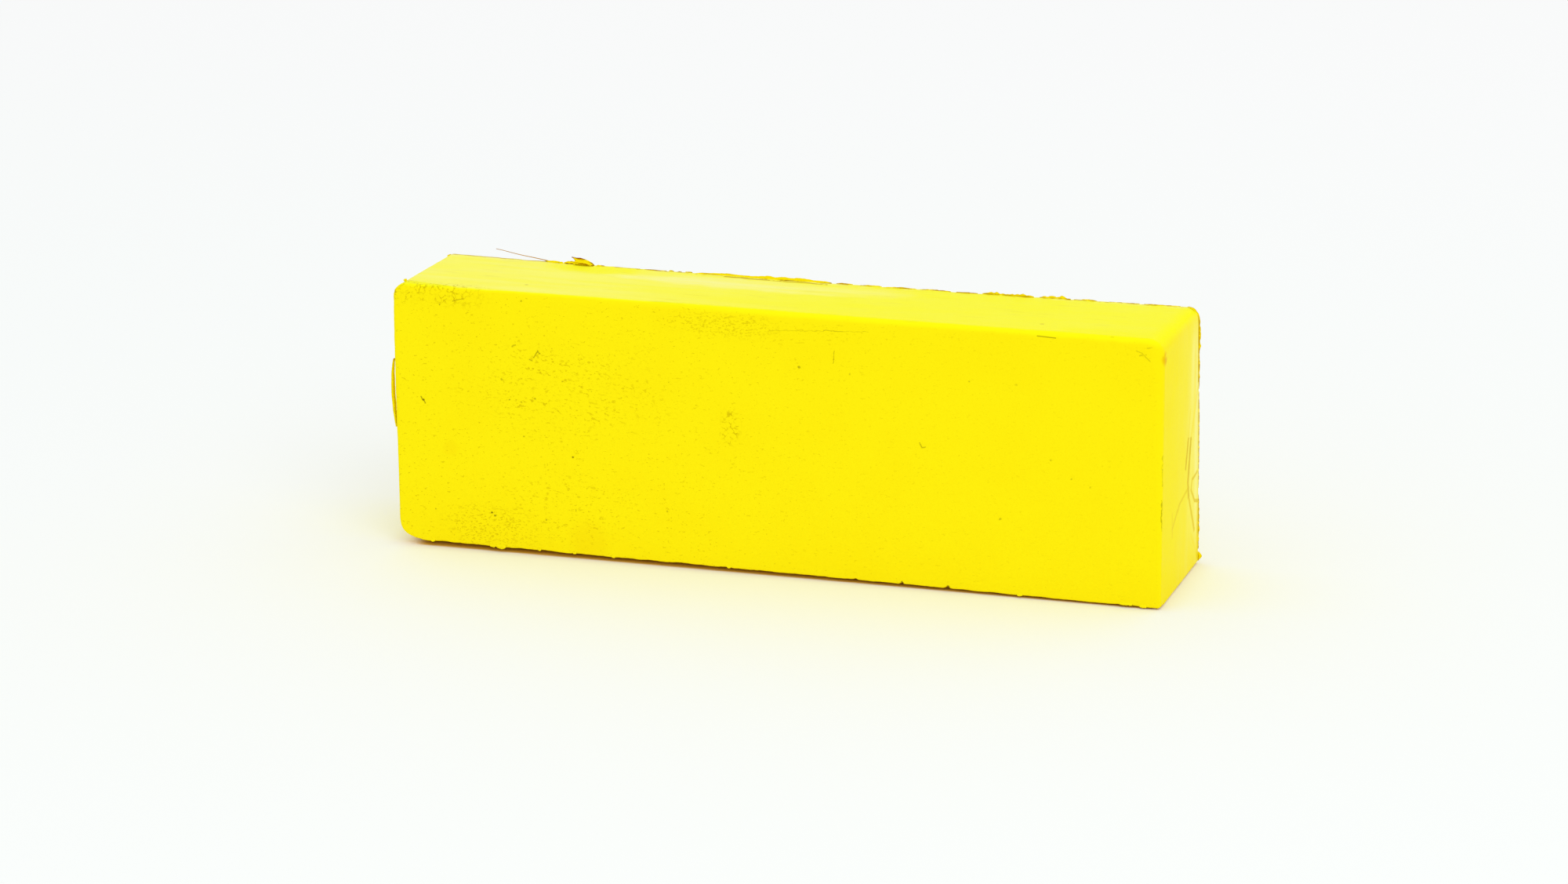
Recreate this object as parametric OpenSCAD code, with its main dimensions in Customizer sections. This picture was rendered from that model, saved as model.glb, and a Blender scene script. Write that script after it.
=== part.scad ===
// Cast block of oil paint: a drafted bar that stands on its long narrow side,
// with the flash, crumbs, loose flake and chipped foot that the mould left.
// Millimetres. X runs along the bar, the front face looks to -Y, and Z is up
// from the surface that the bar stands on.

/* [Bar] */
// Length of the bar
bar_length = 100; // [70:1:160]
// Depth of the bar at its foot, front to back
bar_depth = 19.8; // [12:0.1:30]
// Height of the front face
bar_height = 34; // [26:0.1:50]
// How far the front face leans back over its height
front_lean = 0.35; // [0:0.05:1.5]
// How far the back face leans forward over its height
back_lean = 0.8; // [0:0.05:2]
// Fall of the top face from its front edge to its back edge
top_fall = 0.5; // [0:0.05:1.5]

/* [Corners seen from the front] */
// Radius of the lower left corner
foot_left_r = 2; // [0.2:0.1:5]
// Radius of the lower right corner
foot_right_r = 0.4; // [0.2:0.1:5]
// Radius of the upper right corner
head_right_r = 2.1; // [0.2:0.1:5]
// Radius of the upper left corner
head_left_r = 1.6; // [0.2:0.1:5]

/* [Rounded edges of the front face] */
// Radius along the top
top_edge_r = 1; // [0.2:0.05:3]
// Radius along the foot
foot_edge_r = 0.2; // [0.1:0.05:1]
// Radius along the left end
left_edge_r = 0.5; // [0.2:0.05:3]
// Radius along the right end
right_edge_r = 0.7; // [0.2:0.05:3]

/* [Chipped foot] */
// Gap under the front edge at the left end
foot_gap_left = 0.7; // [0.2:0.05:1]
// Gap under the front edge at the right end
foot_gap_right = 0.2; // [0.1:0.05:1]
// Extra gap at the middle of the bar
foot_arch = 0.1; // [0:0.05:0.5]
// Reach of the chips above and below that gap
foot_chip = 0.2; // [0:0.02:0.4]
// Depth of the strip behind the front edge that stands clear
foot_strip = 2.4; // [0.6:0.1:3]

/* [Flash on the back edges] */
// Thickness of the flash
flash_wall = 0.18; // [0.1:0.02:0.3]
// Height of the tallest flash above the top face
flash_height = 0.3; // [0.1:0.05:0.8]
// How far the flash stands out from the right end
flash_reach = 0.3; // [0.1:0.05:0.6]
// Height that the flash climbs at the right end
flash_climb = 11; // [4:0.5:16]

/* [Peeled strip on the back edge] */
// Distance of the strip from the left end
peel_place = 34; // [30:0.5:40]
// Length of the strip
peel_length = 18.5; // [6:0.5:24]
// Width of the strip
peel_width = 0.9; // [0.5:0.05:1.5]
// Thickness of the strip
peel_wall = 0.2; // [0.12:0.02:0.3]
// Angle at which the strip lifts off the top face
peel_angle = 12; // [4:1:25]

/* [Crumbs on the back edge] */
// Distance of the crumbs from the left end
crumb_place = 18; // [16:0.5:26]
// Size of the largest crumb
crumb_size = 1.3; // [0.6:0.1:2]

/* [Hair drawn out of the crumbs] */
// Thickness of the hair
hair_d = 0.16; // [0.12:0.02:0.3]
// Length of the hair
hair_length = 7; // [3:0.2:8.6]
// Height of its tip above the top face
hair_lift = 1; // [0.4:0.1:2]

/* [Flake on the left end] */
// Height of the lower tip of the flake above the foot
flake_place = 14.5; // [8:0.5:16]
// Height of the flake
flake_height = 9.7; // [4:0.1:10]
// Depth of the flake along the end face
flake_depth = 0.8; // [0.4:0.1:4]
// Thickness of the flake
flake_wall = 0.16; // [0.1:0.02:0.3]
// How far the flake stands off the end face
flake_gap = 0.4; // [0.2:0.05:0.8]

/* [Pits] */
// Diameter of the largest pit in the front face
pit_d = 0.6; // [0.3:0.05:1]

/* [Hidden] */

arc_steps = 8;
chip_step = 1.7;
tear_step = 0.8;
root = 0.6;
skin = 0.04;
paint = [0.99, 0.92, 0.06];

half_length = bar_length / 2;
half_depth = bar_depth / 2;
back_top = half_depth - back_lean;
back_height = bar_height - top_fall;
front_angle = atan(front_lean / bar_height);
back_angle = atan(back_lean / back_height);
top_angle = atan(top_fall / (bar_depth - front_lean - back_lean));

// Flash along the top of the back face: start and end as shares of the length,
// and height as a share of the tallest
fins = [
    [0.205, 0.312, 0.5],
    [0.33, 0.42, 0.8],
    [0.53, 0.56, 0.4],
    [0.595, 0.685, 0.45],
    [0.72, 0.79, 0.7],
    [0.81, 0.87, 0.5],
    [0.9, 0.975, 0.35]
];

// Crumbs: offset along the bar, offset towards the front, size along the bar
// and height, all as shares of the largest crumb. The hair leaves the first
crumbs = [
    [-3.6, -0.1, 0.75, 0.3],
    [-1.25, 0.05, 0.75, 0.35],
    [-0.55, -0.1, 0.7, 0.5],
    [0.05, 0, 1, 0.85],
    [0.4, 0.25, 0.8, 0.6],
    [0.95, 0.1, 0.9, 0.35],
    [-0.15, 0.4, 0.5, 0.4],
    [-0.35, -0.05, 0.35, 1.05]
];

// Pits in the front face: place as shares of the length and the height, and
// diameter as a share of the largest
pits = [
    [0.04, 0.56, 0.9],
    [0.145, 0.13, 0.6],
    [0.17, 0.59, 0.5],
    [0.195, 0.79, 1],
    [0.2, 0.135, 0.6],
    [0.24, 0.39, 0.6],
    [0.365, 0.21, 0.6],
    [0.54, 0.8, 0.6],
    [0.7, 0.54, 0.7],
    [0.755, 0.8, 0.5],
    [0.8, 0.29, 0.8],
    [0.86, 0.53, 0.5],
    [0.91, 0.44, 0.7]
];

function mix(a, b, t) = a + (b - a) * t;
function unit(v) = v / norm(v);
function place(p) = [p[0], p[1]];

// An outline whose corners, given anticlockwise as [x, y, radius], are rounded
function rounded(corners) = [
    for (i = [0 : len(corners) - 1])
        let (
            n = len(corners),
            here = place(corners[i]),
            arrive = unit(here - place(corners[(i + n - 1) % n])),
            leave = unit(place(corners[(i + 1) % n]) - here),
            turn = acos(arrive * leave),
            start = atan2(-arrive[0], arrive[1]),
            r = corners[i][2],
            centre = here + unit(leave - arrive) * r / cos(turn / 2)
        )
        each r == 0 ? [here] : [
            for (k = [0 : arc_steps])
                let (a = start + turn * k / arc_steps)
                centre + r * [cos(a), sin(a)]
        ]
];

// Section across the bar, as [y, z]
section = rounded([
    [-half_depth, 0, foot_edge_r],
    [half_depth, 0, 0],
    [back_top, back_height, 0],
    [-half_depth + front_lean, bar_height, top_edge_r]
]);

// The bar seen from the front, as [x, z]
elevation = rounded([
    [-half_length, 0, foot_left_r],
    [half_length, 0, foot_right_r],
    [half_length, bar_height, head_right_r],
    [-half_length, bar_height, head_left_r]
]);

// The bar seen from above, as [x, y] with the front face on y = 0
plan = rounded([
    [-half_length, 0, left_edge_r],
    [half_length, 0, right_edge_r],
    [half_length, bar_depth, 0],
    [-half_length, bar_depth, 0]
]);

// The plain cast bar: what its section, its elevation and its plan, which
// leans with the front face, have in common
module bar() {
    intersection() {
        rotate([90, 0, 90])
            linear_extrude(height = bar_length + 2, center = true)
            polygon(section);
        rotate([90, 0, 0])
            linear_extrude(height = bar_depth + 2, center = true)
            polygon(elevation);
        translate([0, -half_depth, 0])
            rotate([-front_angle, 0, 0])
            linear_extrude(height = 3 * bar_height, center = true)
            polygon(plan);
    }
}

// What the chips and the warp of the foot take away under the front edge: a
// ragged wedge that runs out at the back of the strip
module foot_gap() {
    steps = round(bar_length / chip_step);
    chips = rands(-1, 1, steps + 1, 41);
    slope = (foot_gap_left + foot_gap_right) / 2;
    translate([0, -half_depth + foot_strip, 0])
        rotate([-atan(slope / foot_strip), 0, 0])
        rotate([90, 0, 0])
        linear_extrude(height = 2 * foot_strip)
        polygon(concat(
            [[-half_length - 1, -2], [half_length + 1, -2]],
            [for (i = [steps : -1 : 0])
                let (
                    share = i / steps,
                    chip = 0.4 * chips[i] + 0.6 * pow(chips[i], 3),
                    gap = mix(foot_gap_left, foot_gap_right, share)
                        + foot_arch * 4 * share * (1 - share) + foot_chip * chip
                )
                [(bar_length + 2) * (share - 0.5), max(0.04, gap) - slope]]
        ));
}

module pits() {
    for (p = pits)
        translate([
            bar_length * (p[0] - 0.5),
            -half_depth + front_lean * p[1] - pit_d * p[2] * 0.15,
            bar_height * p[1]
        ])
        sphere(d = pit_d * p[2], $fn = 24);
}

// A ragged upright strip along X with its outer side on Y = 0, rooted below Z = 0
module fin(length, height, seed) {
    steps = max(4, round(length / tear_step));
    torn = rands(0.35, 1, steps + 1, seed);
    rotate([90, 0, 0])
        linear_extrude(height = flash_wall)
        polygon(concat(
            [[0, -root], [length, -root]],
            [for (i = [steps : -1 : 0])
                let (u = i / steps)
                [length * u, height * (0.15 + 0.85 * sin(180 * u)) * torn[i]]]
        ));
}

// Flash along the top of the back face, and up its right edge from the foot
module flash() {
    for (i = [0 : len(fins) - 1])
        translate([bar_length * (fins[i][0] - 0.5), back_top - skin, back_height])
        rotate([back_angle, 0, 0])
        fin(bar_length * (fins[i][1] - fins[i][0]), flash_height * fins[i][2], 7 + i);
    translate([
        half_length,
        half_depth - back_lean * flash_climb / back_height - skin,
        flash_climb
    ])
        rotate([back_angle, 0, 0])
        rotate([0, 90, 0])
        fin(flash_climb - skin, flash_reach, 23);
}

// A strip of flash folded forward off the back edge, tapered at both ends
module peeled_strip() {
    steps = 14;
    translate([-half_length + peel_place, back_top - skin, back_height - peel_wall / 2])
        rotate([-peel_angle - top_angle, 0, 0])
        linear_extrude(height = peel_wall)
        polygon([
            for (i = [0 : steps])
                let (u = i / steps)
                [peel_length * u,
                 -peel_width * (0.25 + 0.75 * sin(180 * u) + 0.08 * sin(1700 * u))],
            [peel_length, 0], [0, 0]
        ]);
}

// A lumpy crumb about one unit across, from just below Z = 0 to 0.8 above it
module crumb(seed) {
    sides = 7;
    levels = [-0.35, 0.1, 0.45, 0.8];
    girths = [0.4, 0.52, 0.42, 0.2];
    top = len(levels) - 1;
    lumps = rands(0.75, 1.2, sides * len(levels), seed);
    polyhedron(
        points = [
            for (k = [0 : top], j = [0 : sides - 1])
                let (r = girths[k] * lumps[k * sides + j], a = 360 * j / sides)
                [r * cos(a), r * sin(a), levels[k]]
        ],
        faces = tube_faces(sides, top)
    );
}

// Faces of a closed tube of rings whose points run anticlockwise round its way
function tube_faces(sides, last) = concat(
    [[for (j = [0 : sides - 1]) j]],
    [for (k = [0 : last - 1], j = [0 : sides - 1])
        let (a = k * sides + j, b = k * sides + (j + 1) % sides)
        each [[a, a + sides, b + sides], [a, b + sides, b]]],
    [[for (j = [sides - 1 : -1 : 0]) last * sides + j]]
);

module crumb_heap() {
    for (i = [0 : len(crumbs) - 1])
        translate([
            -half_length + crumb_place + crumb_size * crumbs[i][0],
            back_top - crumb_size * (0.4 + crumbs[i][1]),
            back_height
        ])
        scale(crumb_size * [crumbs[i][2], 0.7, crumbs[i][3]])
        crumb(60 + i);
}

// A hair of paint that leaves the first crumb along the back edge and rises to a tip
module hair() {
    sides = 6;
    steps = 12;
    translate([
        -half_length + crumb_place + crumb_size * crumbs[0][0],
        back_top - crumb_size * 0.35,
        back_height
    ])
        rotate([90, 0, -90])
        polyhedron(
            points = [
                for (i = [0 : steps], j = [0 : sides - 1])
                    let (
                        t = i / steps,
                        a = 360 * j / sides,
                        r = hair_d / 2 * (1 - 0.4 * t),
                        rise = hair_lift * (1 - cos(180 * max(0, t - 0.2) / 0.8)) / 2
                    )
                    [r * cos(a) + 0.2 * sin(200 * t), rise + r * (0.6 + sin(a)),
                     hair_length * t]
            ],
            faces = tube_faces(sides, steps)
        );
}

// A thin flake that bows away from the left end: it leaves the end slowly at its
// lower tip and comes back in a short step at its upper tip
module flake() {
    steps = 12;
    stand = [for (i = [0 : steps]) flake_gap * sin(180 * pow(i / steps, 1.7))];
    translate([
        -half_length,
        -half_depth + front_lean + left_edge_r + flake_depth,
        flake_place
    ])
        rotate([90, 0, 0])
        linear_extrude(height = flake_depth)
        polygon(concat(
            [for (i = [0 : steps]) [-stand[i] - flake_wall, flake_height * i / steps]],
            [[root, flake_height]],
            [for (i = [steps - 1 : -1 : 1]) [-stand[i], flake_height * i / steps]],
            [[root, 0]]
        ));
}

module paint_stick() {
    color(paint)
        union() {
            difference() {
                bar();
                foot_gap();
                pits();
            }
            flash();
            peeled_strip();
            crumb_heap();
            hair();
            flake();
        }
}

paint_stick();
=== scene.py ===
import functools
import math

import bmesh
import bpy
import numpy as np
from mathutils import Matrix, Vector, noise


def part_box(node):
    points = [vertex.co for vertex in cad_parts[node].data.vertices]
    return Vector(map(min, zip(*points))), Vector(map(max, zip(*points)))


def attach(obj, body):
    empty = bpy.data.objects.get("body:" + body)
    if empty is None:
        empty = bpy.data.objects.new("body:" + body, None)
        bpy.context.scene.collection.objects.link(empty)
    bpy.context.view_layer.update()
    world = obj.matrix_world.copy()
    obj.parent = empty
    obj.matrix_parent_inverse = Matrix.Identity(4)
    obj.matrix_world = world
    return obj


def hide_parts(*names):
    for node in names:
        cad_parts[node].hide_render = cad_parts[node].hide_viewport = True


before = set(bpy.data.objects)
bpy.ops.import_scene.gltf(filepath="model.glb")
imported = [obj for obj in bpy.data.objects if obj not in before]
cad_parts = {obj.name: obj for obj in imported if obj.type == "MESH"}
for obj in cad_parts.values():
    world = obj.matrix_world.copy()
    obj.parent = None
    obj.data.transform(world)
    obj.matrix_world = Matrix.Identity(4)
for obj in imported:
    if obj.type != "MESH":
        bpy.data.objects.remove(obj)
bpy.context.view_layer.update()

cadLow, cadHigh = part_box("paint_stick")
mm = 0.001
print("frame loaded")

# everything below is in millimetres until it becomes a mesh

bar = {
    "length": 100.0,
    "depth": (cadHigh.y - cadLow.y) / mm,
    "height": 34.0,
    "frontLean": 0.35,
    "backLean": 0.8,
    "leftLean": 0.2,
    "topFall": 0.5,
    "leftTaller": 0.27,  # the casting is a little taller at its left end
    "rightLower": 0.27,
    "backSag": 0.32,  # the back edge of the top sags at its middle
    "corners": {"footLeft": 3.3, "footRight": 0.4, "headRight": 2.1, "headLeft": 1.6},
    "backCorners": {"footLeft": 1.2, "footRight": 0.5, "headRight": 1.6, "headLeft": 0.9},
    "edges": {"top": 1.0, "foot": 0.2, "left": 0.5, "rightFoot": 0.4, "rightHead": 1.25, "back": 0.16},
    "cellsAlong": 380,
    "cellsUp": 128,
    "edgeRings": 6,
    "sideRings": 30,
    "ringGrowth": 1.25,
    "backCellEvery": 4,  # the hidden back face has cells this many times larger
    "backInset": 1.2,  # width of the strip that joins the fine cells to them
}
foot = {
    "gapLeft": 0.76,
    "gapRight": 0.2,
    "arch": 0.1,
    "strip": 2.4,  # depth of the strip that stands clear of the table
    "band": 2.6,  # height over which the front face is squeezed up for it
    "chip": 0.07,
    "chipSize": 2.2,
    "nick": 0.6,  # share of small nicks among the chips
    "nickSize": 0.7,
    "least": 0.04,
    "notches": [  # place along the bar, half width, height
        (-44.0, 0.9, 0.06), (11.2, 0.2, 0.2), (17.2, 0.22, 0.26), (23.1, 0.28, 0.3), (45.8, 1.6, 0.12),
    ],
}
wear = {
    "swell": 0.05,
    "swellSize": 24.0,
    "ripple": 0.014,
    "rippleSize": 4.5,
    "edgeNibble": 0.045,
    "edgeNibbleSize": 1.6,
    "crumbly": 0.16,  # depth of the crumbs at the left end of the head
    "crumblySize": 0.8,
    "tear": 0.3,  # how much of that depth the torn place on the front has
    "tearPlace": (-5.2, 18.5),
    "dent": 0.05,  # shallow dents along the back of the top
    "dentSize": 3.0,
}
# place along the bar, height, radius, depth
pits = [
    (-46.0, 19.3, 0.35, 0.14), (-30.3, 26.8, 0.3, 0.12), (-31.6, 25.5, 0.25, 0.1), (-33.5, 27.3, 0.22, 0.08),
    (-35.2, 22.8, 0.26, 0.1), (-32.7, 20.0, 0.28, 0.1), (-25.9, 13.3, 0.28, 0.12), (-37.0, 5.0, 0.3, 0.14),
    (-29.8, 4.8, 0.3, 0.12), (-13.4, 7.3, 0.26, 0.1), (4.3, 27.1, 0.32, 0.14), (19.9, 18.3, 0.32, 0.12),
    (29.8, 9.9, 0.3, 0.1), (36.2, 17.9, 0.26, 0.1), (38.8, 15.7, 0.26, 0.1), (41.1, 14.8, 0.26, 0.1),
    (27.5, 1.5, 0.35, 0.12), (43.6, 32.7, 0.4, 0.12), (47.2, 31.9, 0.45, 0.14), (-43.4, 32.0, 0.22, 0.12),
    (-41.2, 32.6, 0.25, 0.1), (-32.3, 33.1, 0.2, 0.1), (-34.3, 20.2, 0.22, 0.08), (-32.4, 15.6, 0.22, 0.08),
]


def fractal(points, size, octaves=3, seed=0):
    offset = Vector((17.3, 5.1, 9.7)) * seed
    return np.array([noise.fractal(Vector(p) / size + offset, 1.0, 2.0, octaves) for p in points])


def soft(value, start, end):  # 0 at start, 1 at end
    share = np.clip((value - start) / (end - start), 0, 1)
    return share * share * (3 - 2 * share)


def warped(x, depth, z):  # from the plain box to the leaning, tapered casting
    lean = z / bar["height"]
    y = -bar["depth"] / 2 + bar["frontLean"] * lean
    y = y + depth * (1 - (bar["frontLean"] + bar["backLean"]) * lean / bar["depth"])
    share = x / bar["length"]
    taller = bar["leftTaller"] * (0.5 - share) - bar["rightLower"] * (0.5 + share)
    fall = bar["topFall"] + bar["backSag"] * (1 - 4 * share ** 2)
    rise = 1 + (taller - fall * depth / bar["depth"]) / bar["height"]
    return np.stack([x + bar["leftLean"] * lean * (0.5 - share), y, z * rise], -1)


def backEdge(x):  # where the top face meets the back face
    x = np.asarray(x, float)
    return warped(x, np.full(x.shape, bar["depth"]), np.full(x.shape, bar["height"]))


def outlineSide(corners, first, second, count):
    # one side of the outline, from the middle of one rounded corner to the middle of the next
    half = bar["length"] / 2
    centres = {
        "footLeft": (-half, 0, 1, 1, 225), "footRight": (half, 0, -1, 1, 315),
        "headRight": (half, bar["height"], -1, -1, 405), "headLeft": (-half, bar["height"], 1, -1, 495),
    }
    line = []
    for name, turns in ((first, (0, 15, 30, 45)), (second, (-45, -30, -15, 0))):
        x, z, inX, inZ, middle = centres[name]
        if name == "footLeft" and first == "headLeft":
            middle += 360
        radius = corners[name]
        for turn in turns:
            angle = math.radians(middle + turn)
            line.append((x + radius * (inX + math.cos(angle)), z + radius * (inZ + math.sin(angle)), angle))
    line = np.array(line)
    walked = np.concatenate([[0], np.cumsum(np.hypot(*np.diff(line[:, :2], axis=0).T))])
    stops = np.linspace(0, walked[-1], count + 1)
    return np.stack([np.interp(stops, walked, line[:, k]) for k in range(3)], -1)


def outline(corners):
    along, up = bar["cellsAlong"], bar["cellsUp"]
    turns = ["footLeft", "footRight", "headRight", "headLeft", "footLeft"]
    sides = [outlineSide(corners, turns[k], turns[k + 1], (along, up)[k % 2]) for k in range(4)]
    return np.concatenate([side[:-1] for side in sides])


def edgeRadius(angle, z):
    edges = bar["edges"]
    right = edges["rightFoot"] + (edges["rightHead"] - edges["rightFoot"]) * soft(z, 4, bar["height"])
    across = np.where(np.cos(angle) < 0, edges["left"], right)
    upright = np.where(np.sin(angle) < 0, edges["foot"], edges["top"])
    return across * np.cos(angle) ** 2 + upright * np.sin(angle) ** 2


def filled(low, high, left, right):  # a grid of points between four border lines
    u = np.linspace(0, 1, len(low))[None, :, None]
    v = np.linspace(0, 1, len(left))[:, None, None]
    bilinear = (1 - u) * (1 - v) * low[0] + u * (1 - v) * low[-1] + (1 - u) * v * high[0] + u * v * high[-1]
    return (1 - v) * low + v * high + (1 - u) * left[:, None] + u * right[:, None] - bilinear


def footGap(x):
    share = 0.5 + x / bar["length"]
    gap = foot["gapLeft"] * (1 - share) + foot["gapRight"] * share + foot["arch"] * 4 * share * (1 - share)
    line = np.stack([x, x * 0, x * 0], -1)
    chips = fractal(line, foot["chipSize"], 4, 3)
    nicks = np.abs(fractal(line, foot["nickSize"], 2, 4))
    gap = gap + foot["chip"] * (chips + foot["nick"] * nicks) * (1.6 - share)  # rougher at the left
    for place, width, rise in foot["notches"]:
        gap = gap + rise * np.exp(-((x - place) / width) ** 2)
    return np.maximum(gap, foot["least"])


def liftedFoot(points):
    x, y, z = points.T
    behind = np.clip((y + bar["depth"] / 2) / foot["strip"], 0, 1)
    squeeze = np.clip(1 - z / foot["band"], 0, 1)
    lifted = points.copy()
    lifted[:, 2] += footGap(x) * (1 - behind) * squeeze
    return lifted


def grain(points, outward):
    # how far each point of the casting is pushed along its normal
    x, y, z = points.T
    front = soft(-outward[:, 1], 0.6, 0.95)
    top = soft(outward[:, 2], 0.6, 0.95)
    edge = 1 - soft(np.abs(outward).max(1), 0.8, 0.99)
    push = wear["swell"] * fractal(points, wear["swellSize"], 2, 1)
    push += wear["ripple"] * fractal(points, wear["rippleSize"], 3, 2)
    push += wear["edgeNibble"] * edge * fractal(points, wear["edgeNibbleSize"], 3, 5)
    headLeft = soft(x, -33, -46) * soft(z, 29.3, 32.5) * soft(-y, 2, 7)
    tearX, tearZ = wear["tearPlace"]
    tear = soft(np.abs(x - tearX), 2.2, 0.6) * soft(np.abs(z - tearZ), 3.4, 1.2) * front
    crumbs = np.abs(fractal(points, wear["crumblySize"], 4, 6))
    push -= wear["crumbly"] * (headLeft + wear["tear"] * tear) * crumbs
    for px, pz, radius, depth in pits:
        push -= depth * front * np.exp(-((x - px) ** 2 + (z - pz) ** 2) / radius ** 2)
    dents = np.abs(fractal(points, wear["dentSize"], 2, 8))
    push -= wear["dent"] * top * soft(y, 3, 9) * soft(dents, 0.1, 0.5)
    hidden = soft(outward[:, 2], -0.5, -0.9)  # the underside stays flat on the table
    return push * (1 - hidden)


def makeMesh(name, points, faces):
    mesh = bpy.data.meshes.new(name)
    mesh.from_pydata((np.asarray(points) * mm).tolist(), [], faces)
    mesh.polygons.foreach_set("use_smooth", [True] * len(mesh.polygons))
    mesh.update()
    return mesh


def added(name, data):
    thing = bpy.data.objects.new(name, data)
    bpy.context.collection.objects.link(thing)
    return thing


def place(name, mesh, material):
    piece = added(name, mesh)
    mesh.materials.append(material)
    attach(piece, "root")
    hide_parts("paint_stick")
    return piece


def gridFaces(rows, columns, start=0, flip=False):
    faces = []
    for j in range(rows - 1):
        for i in range(columns - 1):
            a = start + j * columns + i
            face = (a, a + 1, a + columns + 1, a + columns)
            faces.append(face[::-1] if flip else face)
    return faces


def borderIndices(rows, columns, start=0):  # anticlockwise from the first corner
    low = [start + i for i in range(columns - 1)]
    right = [start + j * columns + columns - 1 for j in range(rows - 1)]
    high = [start + (rows - 1) * columns + i for i in range(columns - 1, 0, -1)]
    left = [start + j * columns for j in range(rows - 1, 0, -1)]
    return low + right + high + left


def makeBar(material):
    along, up, every = bar["cellsAlong"], bar["cellsUp"], bar["backCellEvery"]
    loop, backLoop = outline(bar["corners"]), outline(bar["backCorners"])
    radius = edgeRadius(loop[:, 2], loop[:, 1])
    outward = np.stack([np.cos(loop[:, 2]), np.sin(loop[:, 2])], -1)

    def section(inset, depth):
        share = np.reshape(depth, (-1, 1)) / bar["depth"]
        return loop[:, :2] * (1 - share) + backLoop[:, :2] * share - outward * np.reshape(inset, (-1, 1))

    def ring(inset, depth):
        flat = section(inset, depth)
        return warped(flat[:, 0], np.broadcast_to(depth, radius.shape), flat[:, 1])

    def cap(inset, depth, step):
        flat = section(inset, depth)
        flat = np.concatenate([flat, flat[:1]])
        low = flat[:along + 1:step]
        right = flat[along:along + up + 1:step]
        high = flat[along + up:2 * along + up + 1:step][::-1]
        left = flat[2 * along + up::step][::-1]
        grid = filled(low, high, left, right)
        x, z = grid[..., 0].ravel(), grid[..., 1].ravel()
        return warped(x, np.full(x.shape, depth), z)

    points = [cap(radius, 0.0, 1)]
    rings = []
    for k in range(1, bar["edgeRings"] + 1):
        turn = math.radians(90 * k / bar["edgeRings"])
        rings.append(ring(radius * (1 - math.sin(turn)), radius * (1 - math.cos(turn))))
    backRound = bar["edges"]["back"]
    for k in range(1, bar["sideRings"] + 1):
        share = (k / bar["sideRings"]) ** bar["ringGrowth"]
        rings.append(ring(0, radius + (bar["depth"] - backRound - radius) * share))
    for turn in (45, 90):
        angle = math.radians(turn)
        depth = bar["depth"] - backRound * (1 - math.sin(angle))
        rings.append(ring(backRound * (1 - math.cos(angle)), depth))
    points += rings
    points.append(cap(np.full(radius.shape, bar["backInset"]), bar["depth"], every))
    points = np.concatenate(points)

    faces = gridFaces(up + 1, along + 1)
    here = borderIndices(up + 1, along + 1)
    start = (up + 1) * (along + 1)
    count = len(loop)
    for k in range(len(rings)):
        there = [start + k * count + i for i in range(count)]
        faces += [(here[i], there[i], there[(i + 1) % count], here[(i + 1) % count]) for i in range(count)]
        here = there
    start += len(rings) * count
    rows, columns = up // every + 1, along // every + 1
    coarse = borderIndices(rows, columns, start)
    for k in range(len(coarse)):
        fine = [here[(k * every + i) % count] for i in range(every + 1)]
        first, second = coarse[k], coarse[(k + 1) % len(coarse)]
        faces += [(fine[0], first, fine[1]), (fine[1], first, fine[2]), (fine[2], first, second)]
        faces += [(fine[2], second, fine[3]), (fine[3], second, fine[4])]
    faces += gridFaces(rows, columns, start, flip=True)

    mesh = makeMesh("paintBar", points, faces)
    normals = np.empty(len(points) * 3, np.float32)
    mesh.vertex_normals.foreach_get("vector", normals)
    normals = normals.reshape(-1, 3)
    points = liftedFoot(points + normals * grain(points, normals)[:, None])
    points[:, 2] = np.maximum(points[:, 2], 0)
    mesh.vertices.foreach_set("co", (points * mm).astype(np.float32).ravel())
    mesh.update()
    print("bar cast:", len(mesh.polygons), "faces")
    return place("paintBar", mesh, material)


def arc(u, start=0.0):  # 0 at both ends of a piece, 1 at its middle
    return np.sin(np.pi * np.clip(u, start, 1 - start))


# brown on the rim of a thin piece, partly torn edge colour and partly painted shade on the less lit rim
def tornRim(u, v):
    return 0.6 * np.maximum(soft(v, 0.8, 1), soft(np.abs(u - 0.5), 0.46, 0.5))


def makeLeaf(name, surface, thickness, cells, material, torn=tornRim):
    # a thin closed sheet: surface gives its middle, thickness its wall, and the last argument how brown each
    # point is, from torn edge colour and painted shade
    v, u = np.meshgrid(np.linspace(0, 1, cells[1] + 1), np.linspace(0, 1, cells[0] + 1), indexing="ij")
    middle = surface(u, v)
    across = np.cross(np.gradient(middle, axis=1), np.gradient(middle, axis=0))
    across /= np.linalg.norm(across, axis=-1, keepdims=True) + 1e-9
    wall = across * (np.broadcast_to(thickness(u, v), u.shape) / 2)[..., None]
    rows, columns = u.shape
    points = np.concatenate([(middle + wall).reshape(-1, 3), (middle - wall).reshape(-1, 3)])
    below = rows * columns
    faces = gridFaces(rows, columns) + gridFaces(rows, columns, below, flip=True)
    rim = borderIndices(rows, columns)
    faces += [(rim[i], rim[i] + below, rim[(i + 1) % len(rim)] + below, rim[(i + 1) % len(rim)])
              for i in range(len(rim))]
    mesh = makeMesh(name, points, faces)
    # the brown share, torn edge colour and painted shade, is kept on the points for the flash paint
    brown = np.tile(np.broadcast_to(torn(u, v), u.shape).ravel(), 2).astype(np.float32)
    mesh.attributes.new("torn", "FLOAT", "POINT").data.foreach_set("value", brown)
    return place(name, mesh, material)


def ragged(u, waves, seed):  # uneven line along a torn edge, about -1 to 1
    flat = np.stack([u.ravel() * waves, u.ravel() * 0 + seed * 3.7, u.ravel() * 0], -1)
    return fractal(flat, 1.0, 3, seed).reshape(u.shape)


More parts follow.
